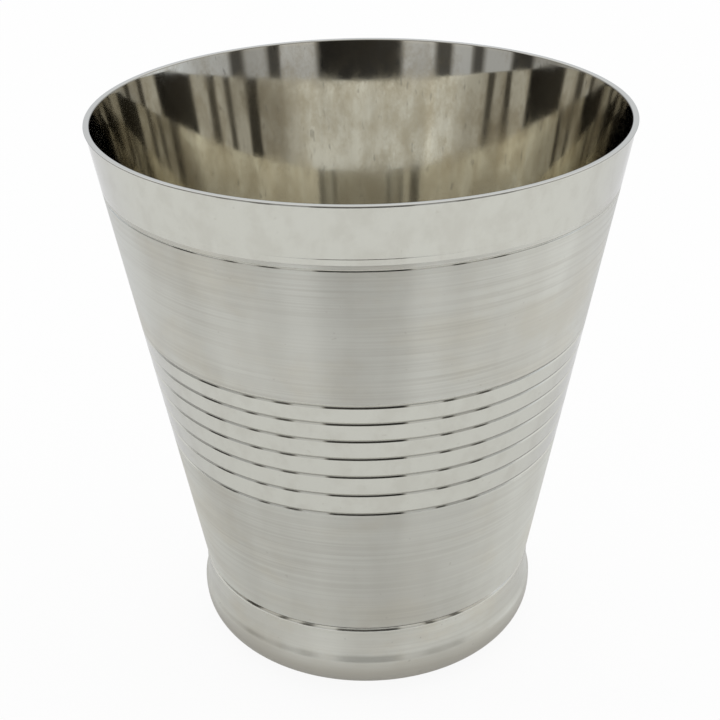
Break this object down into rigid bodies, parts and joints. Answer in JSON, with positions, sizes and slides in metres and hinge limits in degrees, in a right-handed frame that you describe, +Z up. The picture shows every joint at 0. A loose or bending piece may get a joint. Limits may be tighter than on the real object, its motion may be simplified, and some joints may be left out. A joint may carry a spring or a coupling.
{
  "type": "stainless steel tumbler",
  "caption": "Conical double-walled steel drinking tumbler with a polished rim band, a belt of turned grooves, satin panels and a rounded foot.",
  "frame": {"origin": "centre of the foot's resting ring, on the surface that the tumbler stands on", "axes": "+Z up along the tumbler's axis of revolution, towards the mouth; X and Y are alike"},
  "size_m": [0.0854, 0.0854, 0.0931],
  "materials": {
    "mirror_steel": "mirror-polished stainless steel with faint wiping haze",
    "turned_steel": "stainless steel turned round the axis: polished bands and satin panels",
    "plain_steel": "plain cold-rolled stainless steel sheet",
    "satin_steel": "satin stainless steel, brushed round the axis"
  },
  "bodies": {
    "root": {"inner_cup": "mirror_steel", "outer_shell": "turned_steel", "closing_plate": "plain_steel", "foot_cap": "satin_steel"}
  },
  "joints": []
}
